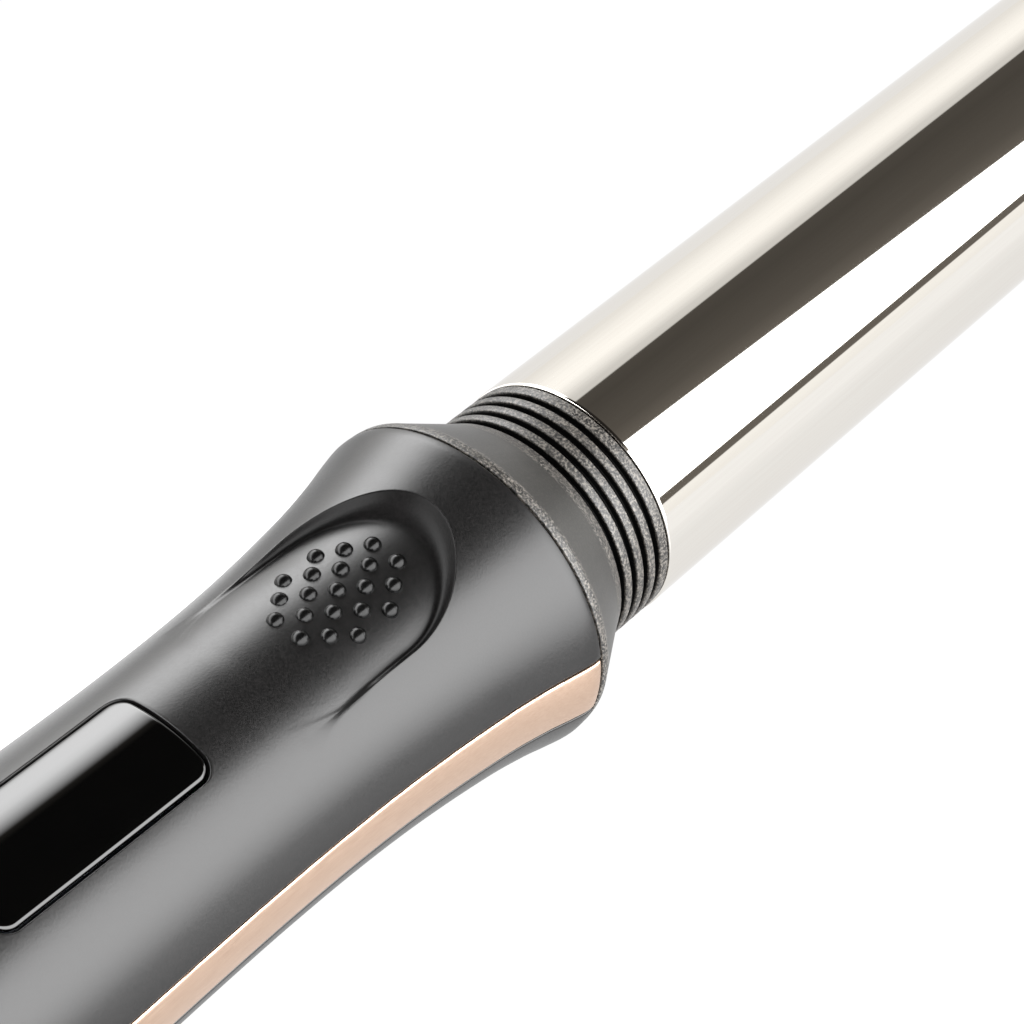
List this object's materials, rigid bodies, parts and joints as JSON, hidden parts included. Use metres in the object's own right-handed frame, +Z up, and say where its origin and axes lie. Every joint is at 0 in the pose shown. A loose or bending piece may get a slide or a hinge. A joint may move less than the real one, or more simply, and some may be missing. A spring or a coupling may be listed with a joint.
{
  "type": "curling iron",
  "caption": "Clipless curling iron with a polished round barrel, ribbed collar, waisted handle with thumb scoop and display window, push buttons, swivelling cord gland and folding stand.",
  "frame": {"origin": "on the surface the wand lies on, under the middle of its length", "axes": "+X along the barrel towards the tip, +Z up through the display window, +Y to the left of someone who looks from the handle towards the tip"},
  "size_m": [0.342, 0.0424, 0.0434],
  "materials": {
    "polished_barrel": "titanium-plated and mirror polished",
    "heat_resistant_plastic": "fine satin moulding",
    "textured_nylon": "spark-eroded texture",
    "soft_touch": "soft-touch lacquer over ABS",
    "rose_gold": "fine satin, rose-gold anodised, bright edges",
    "gloss_black": "piano black, high gloss",
    "button_plastic": "soft-touch",
    "switch_plastic": "moulded",
    "circuit_board": "solder mask",
    "film_capacitor": "moulded",
    "epoxy_package": "moulded",
    "extruded_aluminium": "as extruded",
    "ceramic": "unglazed alumina",
    "mica": "pressed mica board",
    "phenolic": "moulded phenolic resin",
    "steel": "zinc plated",
    "glass_bead": "glass-sealed bead",
    "brass": "turned",
    "contact_resin": "moulded",
    "pvc": "moulded PVC",
    "red_silicone": "silicone sleeve",
    "blue_silicone": "silicone sleeve",
    "glass_sleeve": "braided glass fibre sleeve"
  },
  "bodies": {
    "handle": {"barrel_tube": "polished_barrel", "cool_tip": "heat_resistant_plastic", "tip_bush": "mica", "upper_heat_spreader": "extruded_aluminium", "lower_heat_spreader": "extruded_aluminium", "ceramic_heater": "ceramic", "wave_spring": "steel", "heater_seat": "phenolic", "thermal_fuse": "steel", "thermistor": "glass_bead", "ribbed_collar": "textured_nylon", "top_shell": "soft_touch", "bottom_shell": "soft_touch", "left_trim_strip": "rose_gold", "right_trim_strip": "rose_gold", "display_window": "gloss_black", "display_module": "switch_plastic", "power_switch": "switch_plastic", "plus_switch": "switch_plastic", "minus_switch": "switch_plastic", "main_board": "circuit_board", "suppression_capacitor": "film_capacitor", "triac": "epoxy_package", "live_lead": "red_silicone", "neutral_lead": "blue_silicone", "sensor_lead": "glass_sleeve", "shell_screw_front_left": "steel", "shell_screw_front_right": "steel", "shell_screw_rear_left": "steel", "shell_screw_rear_right": "steel", "tail_cap": "heat_resistant_plastic", "contact_block": "contact_resin", "stand_pin": "steel"},
    "power_key": {"power_button": "button_plastic"},
    "plus_key": {"plus_button": "button_plastic"},
    "minus_key": {"minus_button": "button_plastic"},
    "stand": {"folding_stand": "textured_nylon"},
    "cord_swivel": {"swivel_gland": "pvc", "slip_ring_drum": "brass"}
  },
  "joints": [
    {"name": "stand_fold", "type": "hinge", "parent": "handle", "child": "stand", "pos_m": [-0.032, 0, 0.0019], "axis": [0, -1, 0], "range_deg": [0, 85]},
    {"name": "cord_turn", "type": "hinge", "parent": "handle", "child": "cord_swivel", "pos_m": [-0.158, 0, 0.0222], "axis": [1, 0, 0], "continuous": true},
    {"name": "minus_press", "type": "slide", "parent": "handle", "child": "minus_key", "axis": [0, 0, -1], "range_m": [0, 0.0004], "stiffness_N_per_m": 1500},
    {"name": "plus_press", "type": "slide", "parent": "handle", "child": "plus_key", "axis": [0, 0, -1], "range_m": [0, 0.0004], "stiffness_N_per_m": 1500},
    {"name": "power_press", "type": "slide", "parent": "handle", "child": "power_key", "axis": [0, 0, -1], "range_m": [0, 0.0004], "stiffness_N_per_m": 1500}
  ]
}
